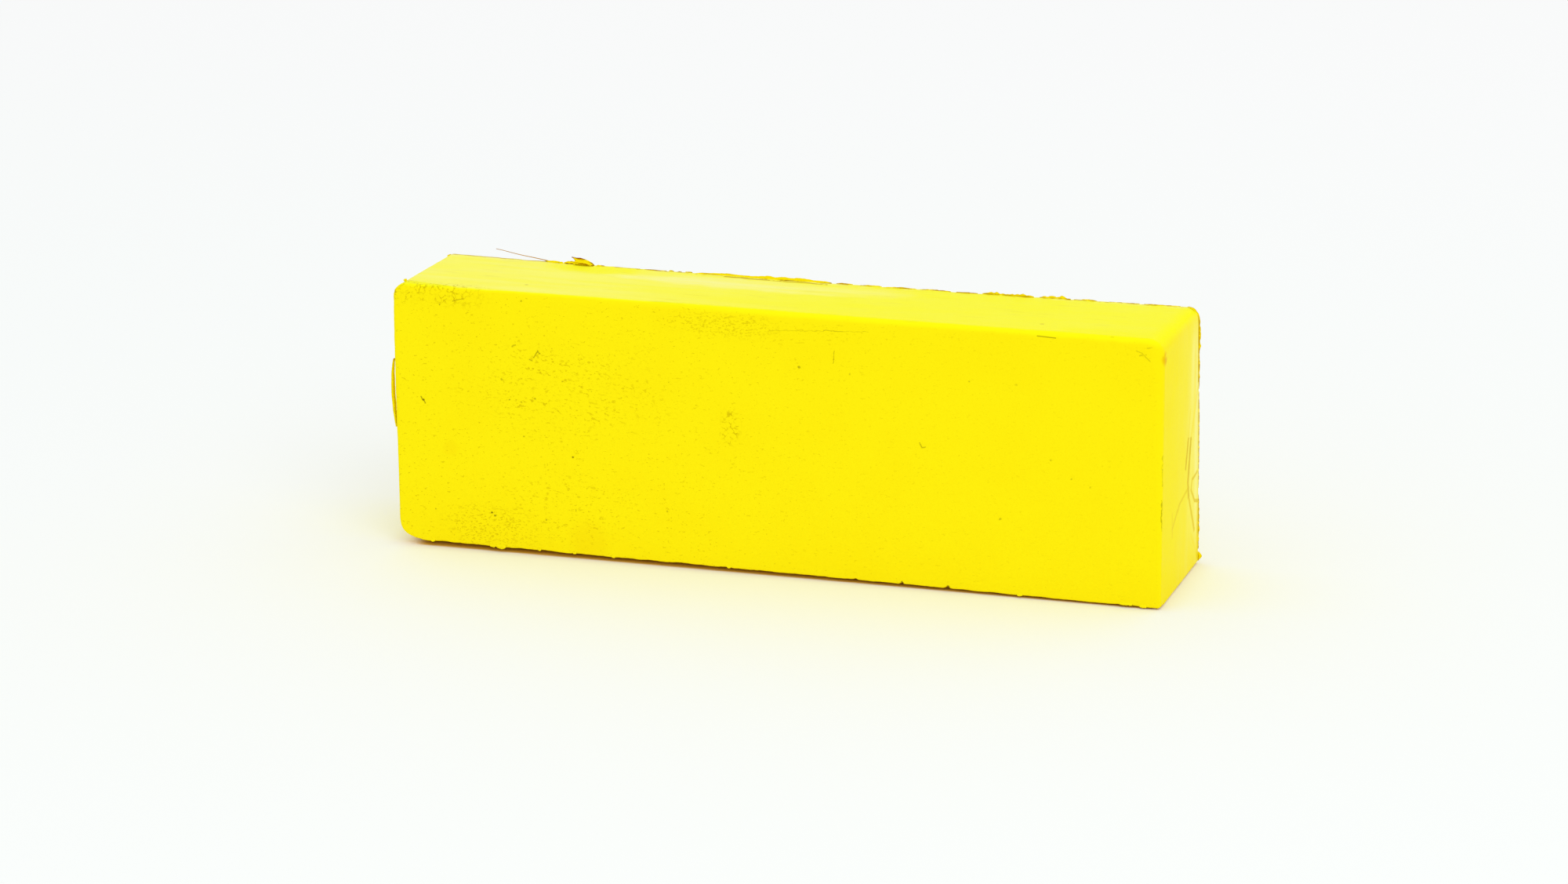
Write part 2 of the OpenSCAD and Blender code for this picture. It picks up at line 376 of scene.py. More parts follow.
def standing(flash, reach, waves, seed, u, v):  # how far a flash stands out of the bar
    swell = arc(u, 0.02) ** 0.5
    uneven = flash["mean"] + flash["uneven"] * ragged(u, waves, seed)
    return (flash["root"] + reach * swell * uneven) * v - flash["root"]


def flashWall(flash, u, v):  # thinner at both ends and towards the torn rim
    return flash["wall"] * (1.1 - flash["taper"] * v) * (0.4 + 0.6 * arc(u, 0.03))


def shavingWall(u, v):
    return 0.05 + 0.08 * np.sin(np.pi * u)


topFlash = {
    "name": "topFlash",
    "axis": 2,  # it stands up
    "seeds": (11, 31),
    "pieces": [  # place of both ends along the bar, height, how far it leans back
        (-29.3, -28.3, 0.1, 0.05), (-27.5, -23.4, 0.0, 0.0), (-22.8, -19.8, 0.03, 0.0),
        (-19.5, -18.8, 0.14, 0.05), (-18.3, -17.7, 0.12, 0.0), (-17.3, -16.3, 0.16, 0.1),
        (3.0, 5.2, 0.12, 0.1), (6.2, 9.0, 0.12, 0.1), (9.6, 13.6, 0.1, 0.05), (14.0, 18.1, 0.12, 0.05),
        (18.8, 21.6, 0.05, 0.05), (22.2, 25.6, 0.3, 0.12), (25.2, 28.9, 0.34, -0.05), (29.6, 33.6, 0.38, 0.1),
        (34.0, 37.0, 0.12, 0.1), (38.5, 42.4, 0.06, 0.05), (43.0, 47.6, 0.08, 0.05),
    ],
    "mean": 0.85,
    "uneven": 0.7,
    "tearSize": 0.7,
    "wander": 0.08,
    "wanderSize": 1.5,
    "brown": 1.0,
    "root": 0.3,
    "inset": 0.16,
    "wall": 0.16,
    "taper": 0.75,
}
endFlash = {
    "name": "endFlash",
    "axis": 0,  # it stands out to the right
    "seeds": (51, 61),
    "pieces": [  # height of both ends above the foot, reach, how far it leans back
        (0.3, 1.5, 0.38, 0.1), (1.9, 9.1, 0.17, 0.0), (9.9, 22.4, 0.09, 0.0), (22.8, 27.6, 0.14, -0.06),
        (27.2, 32.0, 0.26, 0.0),
    ],
    "mean": 0.75,
    "uneven": 0.7,
    "tearSize": 0.6,
    "wander": 0.06,
    "wanderSize": 1.2,
    "brown": 0.8,
    "root": 0.35,
    "inset": 0.1,
    "wall": 0.18,
    "taper": 0.7,
}


def endEdge(z):  # where the right end meets the back face
    edge = warped(np.full(z.shape, bar["length"] / 2), np.full(z.shape, bar["depth"]), z)
    return np.stack([edge[..., 0], edge[..., 1], z], -1)


def makeFlashes(flash, edge, material):  # torn slivers along one edge of the bar
    seed, wanderSeed = flash["seeds"]
    for k, (start, end, reach, lean) in enumerate(flash["pieces"]):
        length = end - start

        def out(u, v):
            return standing(flash, reach, length / flash["tearSize"], seed + k, u, v)

        def surface(u, v):
            points = edge(start + length * u)
            wander = flash["wander"] * ragged(u, length / flash["wanderSize"], wanderSeed + k)
            points[..., 1] += wander + lean * v ** 2 - flash["inset"]
            points[..., flash["axis"]] += out(u, v)
            return points

        def torn(u, v):  # painted shade: browner in the crease where it leaves the bar, and on its rim
            root = soft(np.abs(out(u, v) - 0.01), 0.09, 0.03)
            return np.maximum(flash["brown"] * root, 0.4 * tornRim(u, v))

        wall = functools.partial(flashWall, flash)
        cells = (max(12, int(length / 0.15)), 8)
        makeLeaf(flash["name"] + str(k + 1), surface, wall, cells, material, torn)


cornerFlash = {  # side of the bar, radius of its back corner, reach, degrees it goes round, seed
    "pieces": [("cornerFlashLeft", -1, 0.9, 0.22, 56, 41), ("cornerFlashRight", 1, 1.6, 0.14, 86, 43)],
    "mean": 0.9,
    "uneven": 0.6,
    "wander": 0.06,
    "root": 0.3,
    "inset": 0.14,
    "wall": 0.16,
    "taper": 0.75,
}


def makeCornerFlash(material):
    for name, side, radius, reach, degrees, seed in cornerFlash["pieces"]:
        edge = backEdge(side * (bar["length"] / 2 - radius))

        def surface(u, v):
            angle = math.radians(degrees) * u
            out = standing(cornerFlash, reach, 4, seed, u, v)
            x = edge[0] + side * (radius + out) * np.cos(angle)
            z = edge[2] - radius + (radius + out) * np.sin(angle)
            y = edge[1] - cornerFlash["inset"] + cornerFlash["wander"] * ragged(u, 3, seed + 1)
            return np.stack([x, y, z], -1)

        makeLeaf(name, surface, functools.partial(flashWall, cornerFlash), (24, 6), material)


peel = {
    "start": -16.0,
    "length": 18.4,
    "width": 0.46,
    "waist": 0.36,  # share of its length where it is narrowest
    "narrowing": 0.35,
    "uneven": 0.3,
    "tearSize": 1.3,
    "wall": 0.12,
    "curl": 1.5,  # radians that its section turns through
    "inset": 0.12,
    "wander": 0.05,
    "sink": 0.11,
    "lift": 0.07,  # its right half stands a little higher
}


def makePeeledStrip(material):
    def surface(u, v):
        line = backEdge(peel["start"] + peel["length"] * u)
        narrow = 1 - peel["narrowing"] * soft(np.abs(u - peel["waist"]), 0.14, 0.05)
        width = peel["width"] * narrow * (0.2 + 0.8 * arc(u) ** 0.6)
        width = width * (1 + peel["uneven"] * ragged(u, peel["length"] / peel["tearSize"], 71))
        turn = peel["curl"] * v
        forward = peel["inset"] + 0.5 * width * (1 - 2 * np.sin(turn / 2))
        y = line[..., 1] - forward + peel["wander"] * ragged(u, 9, 72)
        lift = peel["lift"] * soft(u, 0.5, 0.75) - peel["sink"]
        z = line[..., 2] + lift + width * (1 - np.cos(turn)) ** 0.8
        return np.stack([line[..., 0], y, z], -1)

    def thickness(u, v):
        return peel["wall"] * (0.35 + 0.65 * arc(u, 0.02)) * (1.1 - 0.6 * v)

    # painted shadow along the lower edge where it stands clear of the top, brown patches towards its left
    # end, and brown tips
    def torn(u, v):
        below = soft(v, 0.42, 0.15) * soft(ragged(u, 14, 73), -0.25, 0.1)
        patches = 0.7 * soft(ragged(u * 5 + v, 3, 74), 0.1, 0.4) * soft(u, 0.32, 0.2)
        return np.maximum(np.maximum(below, patches), soft(np.abs(u - 0.47), 0.5, 0.53))

    makeLeaf("peeledStrip", surface, thickness, (150, 12), material, torn)


heap = {
    "crumbs": [  # name, place along the bar, forward of the back edge, height, half sizes
        ("crumbCore", -31.1, 0.5, 0.14, (1.1, 0.36, 0.2)),
        ("crumbLeft", -34.0, 0.4, 0.02, (0.22, 0.24, 0.14)),
        ("crumbRight", -30.2, 0.35, 0.05, (0.5, 0.3, 0.16)),
        ("crumbTop", -31.9, 0.35, 0.3, (0.3, 0.24, 0.16)),
        ("crumbFar", -35.1, 0.3, 0.05, (1.0, 0.24, 0.16)),
        ("crumbStray", -28.8, 0.3, 0.02, (0.35, 0.2, 0.1)),
    ],
    "lump": 0.45,
    # lifted shavings: where each starts along the bar, and how far forward of the back edge
    "lens": {"start": -33.9, "length": 2.3, "forward": 0.2, "spread": 0.3, "height": 0.3, "uneven": 0.05},
    "spike": {"start": -29.7, "length": -3.1, "forward": 0.1, "spread": 0.6, "height": 0.84, "uneven": 0.06},
    "fold": {"start": -32.3, "length": 2.5, "forward": 0.8, "spread": 0.2, "height": 0.3, "uneven": 0.08},
    "spikeTip": 0.79,
}


def makeCrumb(name, centre, sizes, seed, material):
    shell = bmesh.new()
    bmesh.ops.create_icosphere(shell, subdivisions=3, radius=1)
    for vert in shell.verts:
        lump = 1 + heap["lump"] * noise.fractal(vert.co * 1.3 + Vector((seed, 0, 0)), 1.0, 2.0, 3)
        vert.co = Vector([centre[k] + vert.co[k] * lump * sizes[k] for k in range(3)]) * mm
    mesh = bpy.data.meshes.new(name)
    shell.to_mesh(mesh)
    shell.free()
    mesh.polygons.foreach_set("use_smooth", [True] * len(mesh.polygons))
    return place(name, mesh, material)


def makeHeap(material):
    for k, (name, x, forward, height, sizes) in enumerate(heap["crumbs"]):
        edge = backEdge(x)
        makeCrumb(name, (x, edge[1] - forward, edge[2] + height), sizes, 3 * k + 2, material)

    def rim(u, v):  # painted shade: brown all round, yellow inside
        return np.maximum(soft(np.abs(v - 0.5), 0.18, 0.3), soft(np.abs(u - 0.5), 0.38, 0.45))

    def lens(u, v):
        part = heap["lens"]
        line = backEdge(part["start"] + part["length"] * u)
        bow = arc(u) ** 0.7
        y = line[..., 1] - part["forward"] - part["spread"] * (1 - v) * bow
        z = line[..., 2] - 0.02 + part["height"] * bow * v + part["uneven"] * ragged(u, 5, 81)
        return np.stack([line[..., 0], y, z], -1)

    def spiky(u, v):
        part = heap["spike"]
        line = backEdge(part["start"] + part["length"] * u)
        top = part["height"] * (1 - (1 - np.clip(u, 0, 1)) ** 3.2) + part["uneven"] * ragged(u, 9, 85)
        low = heap["spikeTip"] * soft(u, 0.6, 1)
        y = line[..., 1] - part["forward"] - part["spread"] * (1 - v) * (1 - soft(u, 0.6, 1))
        return np.stack([line[..., 0], y, line[..., 2] - 0.03 + low + (top - low) * v], -1)

    def folded(u, v):
        part = heap["fold"]
        line = backEdge(part["start"] + part["length"] * u)
        y = line[..., 1] - part["forward"] - part["spread"] * v
        swell = part["height"] * np.sin(np.pi * u ** 0.8) * (0.4 + 0.6 * v)
        z = line[..., 2] + 0.02 + swell + part["uneven"] * ragged(u, 6, 86)
        return np.stack([line[..., 0], y, z], -1)

    makeLeaf("lensShaving", lens, shavingWall, (28, 10), material, rim)
    makeLeaf("spikyShaving", spiky, shavingWall, (34, 8), material, rim)
    makeLeaf("foldedShaving", folded, shavingWall, (26, 6), material, rim)


hair = {
    "start": -35.5,  # from the crumbs towards the left end
    "end": -42.9,
    "lift": 1.12,
    "clear": 0.06,  # height over the back edge where it starts
    "inset": 0.25,
    "sway": 0.3,
    "ripple": 0.04,
    "radius": 0.06,
    "sides": 8,
    "steps": 60,
}


def makeHair(material):
    points = []
    for k in range(hair["steps"] + 1):
        t = k / hair["steps"]
        x = hair["start"] + (hair["end"] - hair["start"]) * t
        edge = backEdge(x)
        rise = hair["lift"] * (1.12 * t - 0.12 * t * t) + hair["ripple"] * math.sin(9 * t) * t
        forward = hair["inset"] + hair["sway"] * math.sin(2.2 * t)
        middle = Vector((x, edge[1] - forward, edge[2] + hair["clear"] + rise))
        radius = hair["radius"] * (1 - 0.4 * t)
        for j in range(hair["sides"]):
            turn = math.tau * j / hair["sides"]
            points.append(middle + Vector((0, math.cos(turn), math.sin(turn))) * radius)
    sides, faces = hair["sides"], []
    for k in range(hair["steps"]):
        for j in range(sides):
            a, b = k * sides + j, k * sides + (j + 1) % sides
            faces.append((a, a + sides, b + sides, b))
    faces.append(tuple(range(sides)))
    faces.append(tuple(hair["steps"] * sides + j for j in reversed(range(sides))))
    place("drawnHair", makeMesh("drawnHair", points, faces), material)


flake = {
    "foot": 15.4,
    "height": 8.9,
    "stand": 0.38,
    "wall": 0.26,
    "depth": 0.7,
    "fromFront": 0.35,
    "sink": 0.02,
    "uneven": 0.03,
    "bridge": (-50.14, 0.2, 16.9),  # place along the bar, behind the flake's front edge, height
    "bridgeSize": (0.17, 0.2, 0.1),
    "headCrumb": (-48.9, -7.3, 0.2),  # place along the bar and across it, over the head
    "headCrumbSize": (0.2, 0.3, 0.16),
}


def makeEndFlake(material):
    def surface(u, v):
        z = flake["foot"] + flake["height"] * u
        out = flake["stand"] * np.sin(np.pi * u ** 1.2) ** 0.7
        x = -bar["length"] / 2 - out + flake["uneven"] * ragged(u, 6, 91) - flake["sink"]
        y = -bar["depth"] / 2 + bar["frontLean"] * z / bar["height"] + flake["fromFront"]
        return np.stack([x, y + flake["depth"] * v * (0.5 + 0.5 * np.sin(np.pi * u)), z], -1)

    def thickness(u, v):
        return flake["wall"] * (0.35 + 0.65 * arc(u, 0.03) ** 0.5)

    def torn(u, v):  # only a thin brown outline
        return np.maximum(soft(np.abs(u - 0.5), 0.47, 0.49), 0.1 * soft(v, 0.2, 0.05))

    makeLeaf("endFlake", surface, thickness, (60, 8), material, torn)
    front = -bar["depth"] / 2 + flake["fromFront"] + bar["frontLean"] / 2
    x, behind, z = flake["bridge"]
    makeCrumb("flakeBridge", (x, front + behind, z), flake["bridgeSize"], 91, material)
    x, y, above = flake["headCrumb"]
    makeCrumb("headCrumb", (x, y, bar["height"] + above), flake["headCrumbSize"], 94, material)


tufts = {
    "pieces": [  # place along the bar, length, drop, how far it stands out
        (-37.5, 0.9, 0.16, 0.1), (-36.6, 1.3, 0.28, 0.14), (-30.9, 0.4, 0.16, 0.08), (-26.2, 0.5, 0.16, 0.08),
        (-21.0, 0.5, 0.1, 0.06), (-5.6, 0.5, 0.16, 0.08), (32.0, 0.7, 0.12, 0.06), (44.9, 1.6, 0.12, 0.08),
        (47.4, 0.9, 0.12, 0.08), (-45.6, 0.6, 0.14, 0.08),
    ],
    "root": 0.25,  # height over the foot's edge at which a tuft starts
    "hidden": 0.2,
    "inset": 0.04,
    "clear": 0.03,  # over the table
}


def makeFootTufts(material):
    for k, (start, length, drop, out) in enumerate(tufts["pieces"]):
        def surface(u, v):
            x = start + length * u
            gap = footGap(x.ravel()).reshape(x.shape)
            fall = drop * arc(u, 0.03) ** 0.4 * (0.8 + 0.6 * ragged(u, 6, 101 + k))
            z = np.maximum(gap + tufts["root"] - (tufts["hidden"] + fall) * v, tufts["clear"])
            y = -bar["depth"] / 2 + tufts["inset"] - out * np.sin(1.8 * v)
            return np.stack([x, y, z], -1)

        makeLeaf(f"footTuft{k + 1}", surface, shavingWall, (20, 5), material)


class Signal:  # a shader output that can stand in a sum
    def __init__(self, recipe, socket):
        self.recipe = recipe
        self.socket = socket

    def maths(self, operation, *parts):
        return self.recipe.add("ShaderNodeMath", {"operation": operation}, dict(enumerate(parts)))

    def __add__(self, other):
        return self.maths("ADD", self, other)

    def __radd__(self, other):
        return self.maths("ADD", other, self)

    def __sub__(self, other):
        return self.maths("SUBTRACT", self, other)

    def __rsub__(self, other):
        return self.maths("SUBTRACT", other, self)

    def __mul__(self, other):
        return self.maths("MULTIPLY", self, other)

    def __rmul__(self, other):
        return self.maths("MULTIPLY", other, self)

    def __abs__(self):
        return self.maths("ABSOLUTE", self)

    def most(self, other):
        return self.maths("MAXIMUM", self, other)

    def ramp(self, start, end):  # 0 at start, 1 at end, soft at both
        settings = {"interpolation_type": "SMOOTHSTEP", "clamp": False}
        parts = {"Value": self, "From Min": start, "From Max": end}
        return self.recipe.add("ShaderNodeMapRange", settings, parts)


def strongest(masks):
    return functools.reduce(Signal.most, masks)


class Recipe:  # one node material
    def __init__(self, name):
        self.material = bpy.data.materials.new(name)
        self.material.use_nodes = True
        self.tree = self.material.node_tree
        self.tree.nodes.clear()
        coordinates = self.add("ShaderNodeTexCoord", None, None, "Object")
        self.spot = self.vectorMaths("MULTIPLY", coordinates, (1 / mm, 1 / mm, 1 / mm))  # millimetres
        self.x, self.y, self.z = self.axes(self.spot)

    def add(self, kind, settings=None, inputs=None, output=0):
        node = self.tree.nodes.new(kind)
        for key, value in (settings or {}).items():
            setattr(node, key, value)
        for key, value in (inputs or {}).items():
            if isinstance(value, Signal):
                self.tree.links.new(value.socket, node.inputs[key])
            else:
                node.inputs[key].default_value = value
        return Signal(self, node.outputs[output]) if node.outputs else None

    def vectorMaths(self, operation, first, second, output="Vector"):
        parts = {0: first, 1: second}
        return self.add("ShaderNodeVectorMath", {"operation": operation}, parts, output)

    def axes(self, vector):
        node = self.add("ShaderNodeSeparateXYZ", None, {0: vector}).socket.node
        return [Signal(self, socket) for socket in node.outputs]

    def vector(self, x, y, z):
        return self.add("ShaderNodeCombineXYZ", None, {0: x, 1: y, 2: z})

    def mix(self, share, first, second):  # colours
        return self.add("ShaderNodeMix", {"data_type": "RGBA"}, {0: share, 6: first, 7: second}, 2)

    def clouds(self, size, detail=3.0, stretch=(1, 1, 1), seed=0.0, spot=None):
        scale = tuple(1 / (size * s) for s in stretch)
        where = self.vectorMaths("MULTIPLY", spot or self.spot, scale)
        where = self.vectorMaths("ADD", where, (seed * 7.3, seed * 3.1, seed * 5.7))
        parts = {"Vector": where, "Scale": 1.0, "Detail": detail}
        return self.add("ShaderNodeTexNoise", None, parts)

    def flecks(self, across, up, size, rarity, seed):  # small irregular marks, wider than tall
        where = self.vector(across * (0.6 / size) + seed, up * (1 / size), seed * 1.7)
        parts = {"Vector": where, "Scale": 1.0, "Detail": 2.0, "Roughness": 0.6}
        return self.add("ShaderNodeTexNoise", None, parts).ramp(rarity, rarity + 0.07)

    def cracks(self, where, size, width, seed):  # thin lines between crumbs
        where = self.vectorMaths("MULTIPLY", where, (1 / size, 1 / size, 1 / size))
        where = self.vectorMaths("ADD", where, (seed * 3.3, seed * 7.1, seed * 1.7))
        parts = {"Vector": where, "Scale": 1.0}
        lines = self.add("ShaderNodeTexVoronoi", {"feature": "DISTANCE_TO_EDGE"}, parts)
        return lines.ramp(width / size, 0.3 * width / size)

    def near(self, where, centre, radius):  # 1 inside a round mark, 0 outside
        away = self.vectorMaths("DISTANCE", where, centre, "Value")
        return away.ramp(radius, radius * 0.35)

    def stroke(self, where, start, end, reach):  # 1 on a straight scratch, 0 from reach on either side
        run = Vector(end) - Vector(start)
        offset = self.vectorMaths("SUBTRACT", where, start)
        share = self.vectorMaths("DOT_PRODUCT", offset, run, "Value")
        share = self.add("ShaderNodeClamp", None, {"Value": share * (1 / run.length_squared)})
        foot = self.vectorMaths("MULTIPLY", self.vector(share, share, share), run)
        away = self.vectorMaths("DISTANCE", offset, foot, "Value")
        return away.ramp(reach, reach * 0.3)

    def dots(self, along, across, spacing, seed):  # rows of fine dots
        row = across * (1 / spacing) + self.clouds(6.0, 2.0, seed=seed) * 1.6
        line = abs(row.maths("FRACT", row) - 0.5).ramp(0.26, 0.08)
        where = self.vector(along * 1.7, row.maths("FLOOR", row) * 5.3, seed)
        grains = self.add("ShaderNodeTexNoise", None, {"Vector": where, "Scale": 1.0, "Detail": 2.0})
        return line * grains.ramp(0.54, 0.66)

    def patch(self, where, centre, size, seed):  # soft cloud round a place
        reach = self.vectorMaths("SUBTRACT", where, centre)
        reach = self.vectorMaths("MULTIPLY", reach, tuple(1 / s for s in size))
        away = self.vectorMaths("LENGTH", reach, (0, 0, 0), "Value")
        return (away + self.clouds(5.0, 3.0, seed=seed) * 0.8).ramp(1.5, 0.9)

    def bump(self, height, depth):
        parts = {"Strength": 1.0, "Distance": depth * mm, "Height": height}
        return self.add("ShaderNodeBump", None, parts)

    def finish(self, skin, roughness, gloss, bump=None):
        parts = {"Base Color": skin, "Roughness": roughness, "Specular IOR Level": gloss}
        if bump:
            parts["Normal"] = bump
        shader = self.add("ShaderNodeBsdfPrincipled", None, parts)
        self.add("ShaderNodeOutputMaterial", None, {"Surface": shader})
        return self.material


def colour(red, green, blue):  # from display values
    shares = [value / 255 for value in (red, green, blue)]
    return (*((v + 0.055) ** 2.4 / 1.055 ** 2.4 if v > 0.04 else v / 12.92 for v in shares), 1.0)


paint = {
    "yellow": colour(253, 237, 11),
    "deepYellow": colour(251, 229, 8),
    # painted highlight colour for the upward faces
    "litLemon": colour(254, 250, 11),
    # painted sheen colour, a pale veil standing for the light from above on the waxy paint
    "paintedSheen": colour(254, 251, 165),
    "scratch": colour(204, 160, 0),
    "orange": colour(232, 160, 0),
    "olive": colour(184, 152, 0),
    # dark colour for soil specks and for painted shade in the pits
    "soilAndPitShade": colour(84, 62, 8),
    "flash": colour(252, 230, 4),
    # brown for torn edges and arrises, and for painted shade at creases and rims
    "tornEdge": colour(180, 130, 6),
    # painted shade colour for the heap of crumbs
    "crumbShade": colour(158, 88, 0),
    # painted shade tint for downward faces
    "undersideShade": colour(238, 190, 0),
    "thread": colour(196, 142, 8),
    "roughness": 0.42,
    "roughnessRange": 0.16,
    "flashRoughness": 0.5,
    "gloss": 0.015,
    "bump": 0.1,
    "fineRelief": 0.35,
    "wideRelief": 0.3,
}
coat = {  # how strongly each layer shows over the plain yellow
    "mottle": 0.22,
    "warmFoot": 0.2,
    "grain": 0.25,
    "paintedSheen": 0.06,
    "paintedSheenLeft": 0.29,
    "paintedSheenStripe": 0.27,
    "paintedSheenStripeLeft": 0.14,
    "paintedSheenRim": 0.42,
    "paintedSheenEnd": 0.1,
    "paintedSheenEndBack": 0.42,
    "sheenGap": 0.9,
    "sheenGapRight": 0.8,
    "marks": 0.7,
    "dots": 0.4,
    "wideFlecks": 0.55,
    "tear": 0.8,
    "soilAndPitShade": 0.85,
    "headScratch": 0.65,
    "cut": 0.8,
    "cutCore": 0.55,
    "cornerStain": 0.6,
    "topSpots": 0.4,
    "topLines": 0.1,
    "peelShade": 0.75,
    "backArris": 0.7,
    "backArrisLeft": 0.55,
    "leftArris": 0.4,
    "crumbly": 0.6,
}
# places on the top where the painted sheen is left out
sheenGapPatches = [  # place along the top and across it, half sizes, seed, strength
    (43.0, -8.0, 6.5, 2.2, 24, 0.7), (-46.0, -8.7, 3.0, 1.2, 25, 1.0), (-28.5, 7.2, 8.0, 3.8, 26, 1.0),
]
fleckPatches = {  # size and rarity of the flecks, place and half sizes of the patch, seeds, strength
    "drag": (0.34, 0.57, -24.5, 22.0, 15.0, 8.0, 4.0, 5, 0.8),
    "low": (0.4, 0.6, -27.0, 6.5, 12.0, 5.0, 6.0, 7, 0.5),
    "arch": (0.22, 0.55, -6.0, 31.8, 9.0, 2.0, 8.0, 9, 0.5),
    "fine": (0.22, 0.55, -37.0, 3.2, 8.0, 3.4, 12.0, 11, 0.6),
}
dragSlope = (0.99, 0.139)  # cosine and sine of the drag marks' fall to the right
backSlope = 0.0245  # how far the back face leans forward, for each millimetre of height
stains = [(-24.0, 2.6, 3.6, 0.1), (-42.5, 13.2, 1.4, 0.08)]  # place along the front, height, radius, strength
topSpots = [  # place along the top and across it, radius
    (33.9, -5.4, 0.4), (-33.4, -4.9, 0.35), (-31.8, -9.3, 0.3), (43.6, -9.2, 0.4),
]
# dark spots: painted shade in the cast pits and the foot's notches, and dark specks elsewhere
soilAndPitShadeSpots = [  # place along the bar, height, radius, strength
    (-46.0, 19.3, 0.24, 1.0), (-25.9, 13.3, 0.17, 0.8), (-37.1, 5.1, 0.22, 1.0), (-36.7, 4.8, 0.18, 0.7),
    (-29.8, 4.8, 0.2, 0.5), (-13.4, 7.3, 0.2, 0.5), (4.2, 27.2, 0.24, 0.6), (29.8, 9.9, 0.24, 0.45),
    (-35.2, 22.8, 0.2, 0.45), (-32.7, 20.0, 0.18, 0.4), (38.8, 15.7, 0.18, 0.35), (41.1, 14.8, 0.18, 0.35),
    (36.2, 17.9, 0.18, 0.35), (25.9, 27.0, 0.18, 0.4), (31.8, 27.0, 0.2, 0.35), (10.7, 26.8, 0.2, 0.35),
    (-44.8, 5.0, 0.18, 0.5), (17.3, 0.7, 0.24, 1.0), (23.2, 0.7, 0.3, 1.0), (11.3, 0.5, 0.2, 1.0),
    (-34.3, 20.2, 0.17, 0.6), (-30.8, 20.6, 0.15, 0.5), (-32.4, 15.6, 0.16, 0.5), (-19.9, 25.2, 0.14, 0.4),
    (-12.9, 24.1, 0.14, 0.4), (-27.0, 23.1, 0.14, 0.4), (-23.2, 22.1, 0.14, 0.35), (-19.2, 21.6, 0.14, 0.35),
    (-25.6, 6.4, 0.16, 0.4), (-43.4, 31.9, 0.16, 0.6), (-32.3, 33.1, 0.15, 0.5),
]
# dark strokes, partly painted shade where they run into the pits, the rest scratches
soilAndPitShadeStrokes = [  # both ends as place along the bar and height, reach to each side, strength
    (-30.8, 25.9, -30.3, 26.8, 0.13, 0.6), (-30.3, 26.8, -30.0, 26.5, 0.13, 0.6),
    (-31.4, 25.6, -31.0, 25.5, 0.13, 0.5), (8.7, 29.6, 8.6, 28.0, 0.09, 0.45),
    (19.6, 18.8, 19.9, 18.1, 0.13, 0.5), (19.9, 18.1, 20.3, 18.3, 0.12, 0.5),
    (-46.3, 19.7, -45.8, 19.0, 0.13, 0.7), (-33.7, 27.1, -33.3, 27.4, 0.13, 0.4),
    (7.4, 32.1, 9.9, 32.1, 0.08, 0.4), (0.4, 31.6, 7.4, 32.0, 0.08, 0.22),
    (9.9, 32.1, 13.1, 32.3, 0.07, 0.22), (49.95, 13.8, 49.97, 9.9, 0.06, 0.5),
    (46.7, 32.3, 47.4, 32.0, 0.1, 0.3), (47.4, 32.0, 48.4, 31.1, 0.1, 0.35),
    (47.1, 31.7, 47.9, 31.9, 0.1, 0.3), (48.0, 32.7, 48.6, 32.8, 0.1, 0.25),
    (-41.6, 32.5, -40.2, 32.9, 0.1, 0.5), (49.95, 19.4, 49.96, 15.6, 0.05, 0.35),
]
endCuts = [  # both ends as place from front to back and height, reach to each side, strength
    (8.6, 23.0, 5.3, 17.3, 0.58, 0.55), (5.3, 17.3, 3.9, 12.4, 0.7, 0.99),
    (3.9, 12.4, 4.3, 10.4, 0.7, 0.88), (4.3, 10.4, 7.5, 5.1, 0.58, 0.77),
    (4.9, 21.0, 4.0, 17.7, 0.52, 0.55), (4.0, 17.7, 2.7, 14.4, 0.64, 0.88),
    (3.8, 11.4, -0.4, 10.7, 0.44, 0.7), (-0.4, 10.7, -4.2, 8.6, 0.52, 0.7),
    (-4.2, 10.4, -4.1, 7.7, 0.64, 0.62), (8.8, 12.2, 6.1, 12.0, 0.44, 0.77),
    (6.1, 12.0, 5.6, 10.8, 0.44, 0.77), (5.6, 10.8, 7.5, 8.9, 0.44, 0.77), (7.5, 8.9, 9.4, 8.3, 0.44, 0.77),
    (5.8, 4.9, 8.8, 1.7, 0.44, 0.44), (9.0, 24.0, 8.9, 32.0, 0.58, 0.88), (9.2, 1.0, 9.3, 8.0, 0.58, 0.66),
    (7.0, 18.0, 7.4, 28.0, 0.38, 0.33), (-2.4, 6.2, -2.6, 4.4, 0.64, 0.44),
]


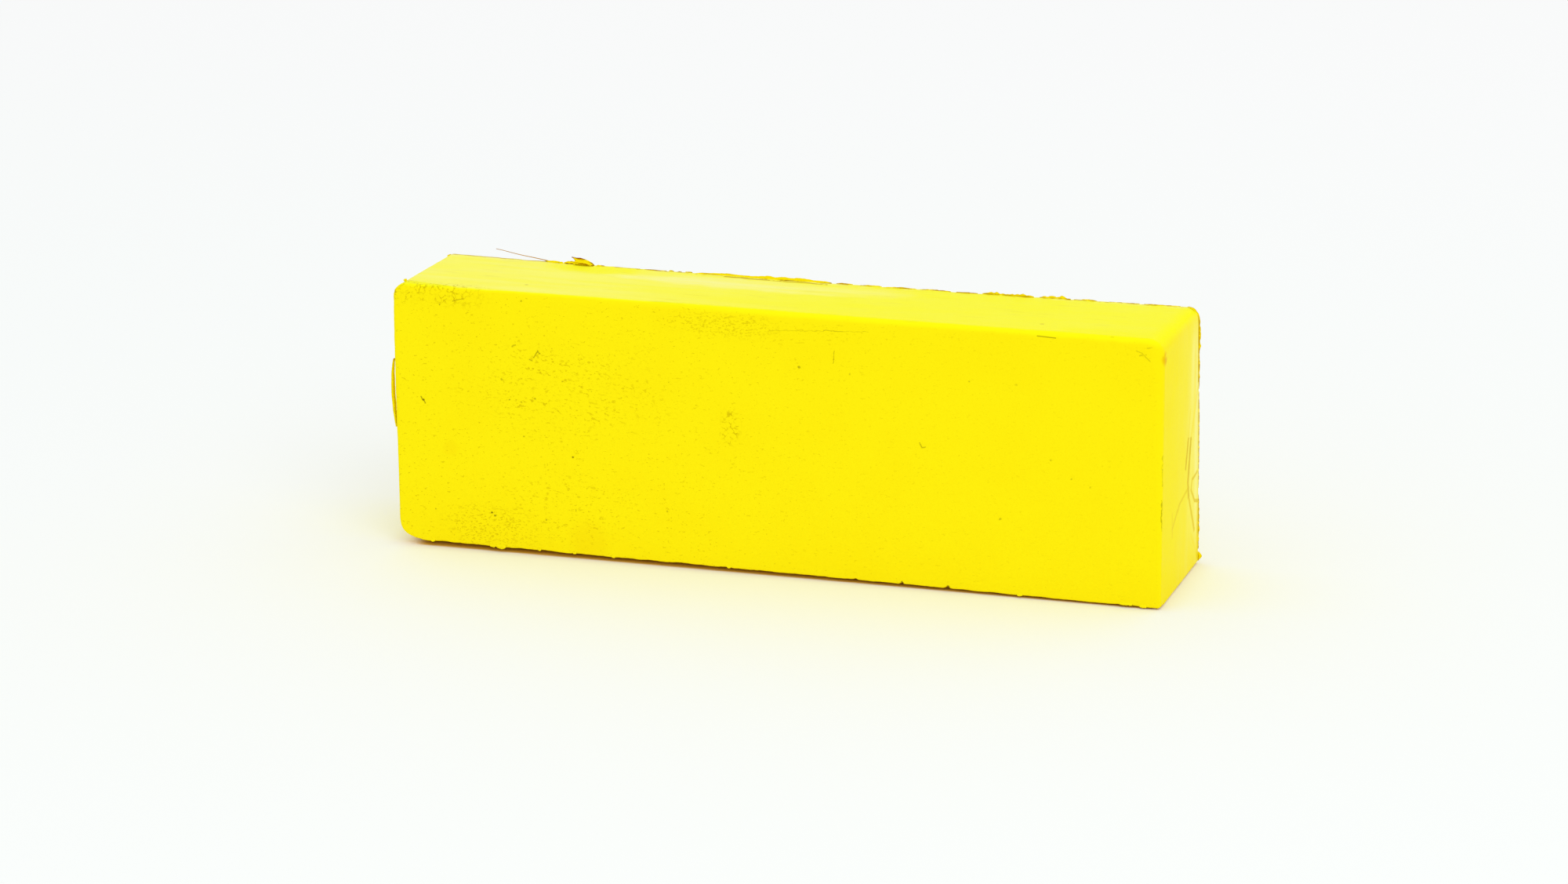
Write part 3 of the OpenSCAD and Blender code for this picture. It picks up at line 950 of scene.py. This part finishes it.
def makeBarPaint():
    r = Recipe("waxyYellowPaint")
    normal = r.axes(r.add("ShaderNodeNewGeometry", None, None, "Normal"))
    forward = 0 - normal[1]
    front = forward.ramp(0.55, 0.9)
    top = normal[2].ramp(0.75, 0.98)
    rightEnd = normal[0].ramp(0.7, 0.98)
    face = r.vector(r.x, 0.0, r.z)
    shake = r.add("ShaderNodeTexNoise", None, {"Vector": r.spot, "Scale": 1.6, "Detail": 3.0}, "Color")
    shake = r.vectorMaths("SUBTRACT", shake, (0.5, 0.5, 0.5))
    shaken = r.vectorMaths("ADD", face, r.vectorMaths("MULTIPLY", shake, (0.35, 0.0, 0.35)))

    mottle = r.clouds(9.0, 3.0).ramp(0.38, 0.7)
    grains = r.clouds(0.32, 2.0, seed=31).ramp(0.3, 0.7)
    warm = mottle * coat["mottle"] + r.z.ramp(8, 0) * coat["warmFoot"] + grains * coat["grain"]
    skin = r.mix(warm, paint["yellow"], paint["deepYellow"])

    # the top is painted a brighter lemon and a pale painted sheen, as lit from above; the sheen is left out
    # at the edges and round the crumbs
    topFace = r.vector(r.x, r.y, 0.0)
    # painted highlight: upward faces, and the front-top round towards the right, get a brighter lemon as if
    # lit from above
    litLemon = normal[2].ramp(0.6, 0.96).most(normal[2].ramp(0.2, 0.85) * r.x.ramp(-30, 5))
    skin = r.mix(litLemon, skin, paint["litLemon"])
    uneven = r.clouds(1.6, 4.0, stretch=(5, 1, 1), seed=23) - 0.5
    behindEdge = r.y + 8.8 + r.x.ramp(0, -20) * 0.3 - r.x.ramp(-40, -48) * 1.4 + uneven * 0.9
    behindEdge = behindEdge.ramp(0.0, 0.5)
    streaks = r.clouds(1.8, 4.0, stretch=(9, 1, 1), seed=1).ramp(0.3, 0.7)
    stripe = r.patch(topFace, (-5.0, 4.6, 0.0), (23.0, 3.6, 1.0), 28)
    stripe = stripe * (r.x.ramp(12, -10) * coat["paintedSheenStripeLeft"] + coat["paintedSheenStripe"])
    backRim = r.y.ramp(7.4, 9.0) * r.clouds(4.0, 2.0, seed=2).ramp(0.44, 0.66) * coat["paintedSheenRim"]
    sheenGap = strongest(r.patch(topFace, (x, y, 0.0), (along, across, 1.0), seed) * strength
                       for x, y, along, across, seed, strength in sheenGapPatches)
    sheenGap = sheenGap.most(r.x.ramp(47.0, 49.2) * coat["sheenGapRight"])
    # painted sheen: a pale veil over the top, as the light from above shows on the waxy paint
    veil = r.x.ramp(10, -46) * coat["paintedSheenLeft"] + stripe + coat["paintedSheen"]
    veil = veil * (streaks * 0.7 + 0.65) + backRim
    veil = top * behindEdge * veil * (1 - sheenGap * coat["sheenGap"])
    # painted sheen on the right end, stronger towards its back
    upright = r.clouds(1.3, 4.0, stretch=(1, 1, 9), seed=3).ramp(0.35, 0.7)
    endBack = r.y.ramp(2.5, 8.5) * coat["paintedSheenEndBack"] * r.z.ramp(33, 28) * r.z.ramp(1, 7)
    endVeil = rightEnd * (r.y.ramp(-5, 4) * coat["paintedSheenEnd"] + endBack) * (upright * 0.7 + 0.65)
    skin = r.mix(veil + endVeil, skin, paint["paintedSheen"])

    # what the mould and the table left on the front, with painted shade in its pits
    def fleckPatch(name, along, up):
        size, rarity, x, z, wide, high, fleckSeed, patchSeed, strength = fleckPatches[name]
        patch = r.patch(face, (x, 0.0, z), (wide, 1.0, high), patchSeed)
        return r.flecks(along, up, size, rarity, fleckSeed) * patch * strength

    level, fall = dragSlope
    dragAlong = r.x * level - r.z * fall
    dragUp = r.z * level + r.x * fall
    rows = r.clouds(0.9, 2.0, stretch=(8, 1, 1), seed=10, spot=r.vector(dragAlong, 0.0, dragUp))
    drag = fleckPatch("drag", dragAlong, dragUp)
    drag = drag * (r.x.ramp(-8, -32) * 0.5 + 0.4) * (rows.ramp(0.42, 0.6) * 0.8 + 0.2)
    marks = drag.most(fleckPatch("low", dragAlong, dragUp)).most(fleckPatch("arch", r.x, r.z))
    archRise = r.vectorMaths("DISTANCE", face, (10.0, 0.0, -31.5), "Value")
    dots = r.dots(r.x, archRise, 0.42, 8.0) * r.patch(face, (0.0, 0.0, 31.2), (14.0, 1.0, 1.6), 9)
    wide = r.flecks(r.x, r.z, 0.26, 0.63, 2.0) * (r.x.ramp(40, -30) * 0.7 + 0.3)
    marks = marks.most(fleckPatch("fine", r.x, r.z)).most(dots * coat["dots"]).most(wide * coat["wideFlecks"])
    shakenFace = r.vectorMaths("ADD", face, r.vectorMaths("MULTIPLY", shake, (1.2, 0.0, 1.2)))
    torn = r.cracks(shakenFace, 0.7, 0.08, 13) * r.patch(face, (-4.9, 0.0, 18.8), (1.5, 1.0, 2.8), 13)
    torn = torn * r.clouds(0.7, 2.0, seed=14).ramp(0.42, 0.58)
    skin = r.mix(marks.most(torn * coat["tear"]) * front * coat["marks"], skin, paint["olive"])

    # dark soil colour: painted shade where it sits in the pits and notches, dark specks and scratches
    # elsewhere
    soilAndPitShade = strongest(r.near(shaken, (x, 0.0, z), radius) * strength for x, z, radius, strength in soilAndPitShadeSpots)
    scratches = strongest(r.stroke(shaken, (x1, 0.0, z1), (x2, 0.0, z2), reach) * strength
                          for x1, z1, x2, z2, reach, strength in soilAndPitShadeStrokes)
    soilAndPitShade = soilAndPitShade.most(scratches) * forward.ramp(0.05, 0.3) * r.clouds(0.35, 2.0, seed=15).ramp(0.2, 0.45)
    headScratch = r.stroke(face, (34.4, 0.0, 33.25), (36.7, 0.0, 33.15), 0.09)
    soilAndPitShade = soilAndPitShade.most(headScratch * r.y.ramp(-8, -9) * coat["headScratch"])
    skin = r.mix(soilAndPitShade * coat["soilAndPitShade"], skin, paint["soilAndPitShade"])
    stain = strongest(r.near(shaken, (x, 0.0, z), radius) * strength for x, z, radius, strength in stains)
    skin = r.mix(stain * front, skin, paint["orange"])

    # scratches and a stain on the right end
    endShake = r.vectorMaths("MULTIPLY", shake, (0.0, 0.35, 0.35))
    endFace = r.vectorMaths("ADD", r.vector(0.0, r.y, r.z), endShake)
    cut = strongest(r.stroke(endFace, (0.0, y1, z1), (0.0, y2, z2), reach) * strength
                    for y1, z1, y2, z2, reach, strength in endCuts)
    cut = cut * normal[0].ramp(0.5, 0.9)
    skin = r.mix(cut * coat["cut"], skin, paint["deepYellow"])
    skin = r.mix(cut.ramp(0.5, 0.95) * coat["cutCore"], skin, paint["scratch"])
    cornerStain = r.near(r.spot, (50.0, -8.3, 31.2), 1.1) * r.clouds(0.8, 3.0, seed=16).ramp(0.3, 0.5)
    skin = r.mix(cornerStain * coat["cornerStain"], skin, paint["orange"])

    spots = strongest(r.near(topFace, (x, y, 0.0), radius) for x, y, radius in topSpots)
    lines = r.clouds(0.6, 4.0, stretch=(9, 1, 1), seed=17).ramp(0.6, 0.68)
    lines = lines * r.clouds(7.0, 2.0, seed=18).ramp(0.45, 0.6)
    skin = r.mix((spots * coat["topSpots"] + lines * coat["topLines"]) * top, skin, paint["olive"])
    peelShade = r.stroke(r.spot, (-11.5, 8.3, 33.35), (2.0, 8.1, 33.25), 0.4)
    peelShade = peelShade * r.clouds(1.2, 3.0, seed=30).ramp(0.36, 0.5)
    skin = r.mix(peelShade * coat["peelShade"], skin, paint["tornEdge"])

    # thin arrises look browner; downward faces, such as the strip that stands clear of the table, get a brown
    # painted-shade tint, as they lie only in shade
    behind = r.y + r.z * backSlope
    backArris = behind.ramp(9.3, 9.42) * behind.ramp(9.62, 9.5) * r.z.ramp(30, 32.5)
    backArris = backArris * r.clouds(0.9, 3.0, seed=27).ramp(0.46, 0.6) * coat["backArris"]
    backLeft = behind.ramp(9.42, 9.52) * normal[2].ramp(0.3, 0.7) * r.x.ramp(-34, -37) * coat["backArrisLeft"]
    leftArris = (0 - normal[0]).ramp(0.75, 0.97) * r.y.ramp(-8.6, -9.2) * coat["leftArris"]
    skin = r.mix(backArris.most(backLeft).most(leftArris), skin, paint["tornEdge"])
    skin = r.mix((0 - normal[2]).ramp(0.5, 0.9), skin, paint["undersideShade"])

    headLeft = r.x.ramp(-35, -43) * r.z.ramp(31.2, 32.8) * r.y.ramp(-6.5, -8.4)
    crumbly = r.cracks(r.vectorMaths("ADD", r.spot, shake), 0.8, 0.08, 19)
    crumbly = crumbly * r.clouds(0.9, 3.0, seed=19).ramp(0.4, 0.58)
    skin = r.mix(crumbly * headLeft * coat["crumbly"], skin, paint["olive"])

    relief = r.clouds(0.5, 4.0, seed=20) * paint["fineRelief"]
    bump = r.bump(relief + r.clouds(2.2, 3.0, seed=21) * paint["wideRelief"], paint["bump"])
    roughness = (r.clouds(4.0, 3.0, seed=22) - 0.5) * paint["roughnessRange"] + paint["roughness"]
    return r.finish(skin, roughness, paint["gloss"], bump)


def makeFlashPaint(name, brown):
    r = Recipe(name)
    torn = r.add("ShaderNodeAttribute", {"attribute_name": "torn"}, None, "Fac")
    broken = r.clouds(0.5, 3.0, stretch=(2, 1, 1)).ramp(0.36, 0.56)
    # brown where the points say so: torn edge colour and painted shade in creases and on less lit rims
    skin = r.mix(torn * broken, paint["flash"], brown)
    bump = r.bump(r.clouds(0.25, 3.0, seed=1), paint["bump"])
    return r.finish(skin, paint["flashRoughness"], paint["gloss"], bump)


def makeThreadPaint():
    r = Recipe("driedThreadPaint")
    skin = r.mix(r.clouds(1.5, 2.0).ramp(0.4, 0.6), paint["thread"], paint["tornEdge"])
    return r.finish(skin, paint["flashRoughness"], paint["gloss"])


studio = {
    "floorSize": 8.0,
    "floor": colour(251, 254, 253),
    "farFloor": colour(254, 255, 255),
    "floorRoughness": 0.9,
    "floorFade": (20, 360),  # where the table turns paler behind the bar
    # painted shade on the table under the lifted foot
    "footShade": colour(232, 200, 88),
    "footShadeLeft": (-48.8, -46.4),  # where the painted shade under the bar starts, and where it is full
    "footShadeRight": (49.6, 48.2),
    "footShadeSides": (10.0, 9.2),
    # a faint painted shadow round the bar
    "shadowHaloEnds": (53.0, 49.0),
    "shadowHaloSides": (12.0, 9.0),
    "shadowHalo": 0.15,
    "world": 0.9,
    "lamp": 2.92,  # watts
    "lampSize": 1.0,
    "lampPlace": (0.62, -0.84, 0.92),
}


def makeStudio():
    size = studio["floorSize"] / 2
    mesh = bpy.data.meshes.new("floor")
    corners = [(-size, -size, 0), (size, -size, 0), (size, size, 0), (-size, size, 0)]
    mesh.from_pydata(corners, [], [(0, 1, 2, 3)])
    r = Recipe("paleTable")
    table = r.mix(r.y.ramp(*studio["floorFade"]), studio["floor"], studio["farFloor"])
    # painted shade under the lifted foot, and a faint painted shadow round the bar
    under = r.x.ramp(*studio["footShadeLeft"]) * r.x.ramp(*studio["footShadeRight"])
    under = under * abs(r.y).ramp(*studio["footShadeSides"])
    shadowHalo = abs(r.x).ramp(*studio["shadowHaloEnds"]) * abs(r.y).ramp(*studio["shadowHaloSides"]) * studio["shadowHalo"]
    table = r.mix(under.most(shadowHalo), table, studio["footShade"])
    mesh.materials.append(r.finish(table, studio["floorRoughness"], 0.0))
    floor = added("floor", mesh)

    world = bpy.data.worlds.new("studio")
    world.use_nodes = True
    sky = world.node_tree.nodes["Background"].inputs
    sky["Color"].default_value = (1, 1, 1, 1)
    sky["Strength"].default_value = studio["world"]
    bpy.context.scene.world = world

    lamp = bpy.data.lights.new("softbox", "AREA")
    lamp.shape = "DISK"
    lamp.size = studio["lampSize"]
    lamp.energy = studio["lamp"]
    softbox = added("softbox", lamp)
    softbox.location = studio["lampPlace"]
    softbox.rotation_euler = Vector(studio["lampPlace"]).to_track_quat("Z", "Y").to_euler()
    print("table and light set")


view = {  # degrees, metres and millimetres
    "azimuth": 18.683,  # from the front towards the right end
    "elevation": 16.223,
    "roll": -0.884,
    "distance": 0.55643,
    "aim": (0.00218, -0.0099, 0.017575),
    "lens": 103.5,
    "sensor": 36.0,
}


def makeCamera():
    turn, rise, roll = (math.radians(view[k]) for k in ("azimuth", "elevation", "roll"))
    back = Vector((math.sin(turn) * math.cos(rise), -math.cos(turn) * math.cos(rise), math.sin(rise)))
    level = Vector((math.cos(turn), math.sin(turn), 0))
    steep = back.cross(level)
    right = level * math.cos(roll) + steep * math.sin(roll)
    up = steep * math.cos(roll) - level * math.sin(roll)
    data = bpy.data.cameras.new("camera")
    data.lens = view["lens"]
    data.sensor_width = view["sensor"]
    data.clip_start = 0.01
    camera = added("camera", data)
    spot = Vector(view["aim"]) + back * view["distance"]
    camera.matrix_world = Matrix.Translation(spot) @ Matrix((right, up, back)).transposed().to_4x4()
    bpy.context.scene.camera = camera
    print("camera set")


makeCamera()
barPaint = makeBarPaint()
flashPaint = makeFlashPaint("thinTornPaint", paint["tornEdge"])
makeBar(barPaint)
makeFlashes(topFlash, backEdge, flashPaint)
makeFlashes(endFlash, endEdge, flashPaint)
makeCornerFlash(flashPaint)
makePeeledStrip(flashPaint)
makeHeap(makeFlashPaint("crumbShadePaint", paint["crumbShade"]))
makeHair(makeThreadPaint())
makeEndFlake(flashPaint)
makeFootTufts(barPaint)
print("flash, crumbs, hair and flakes made")
makeStudio()

bpy.context.scene.view_settings.view_transform = "Standard"
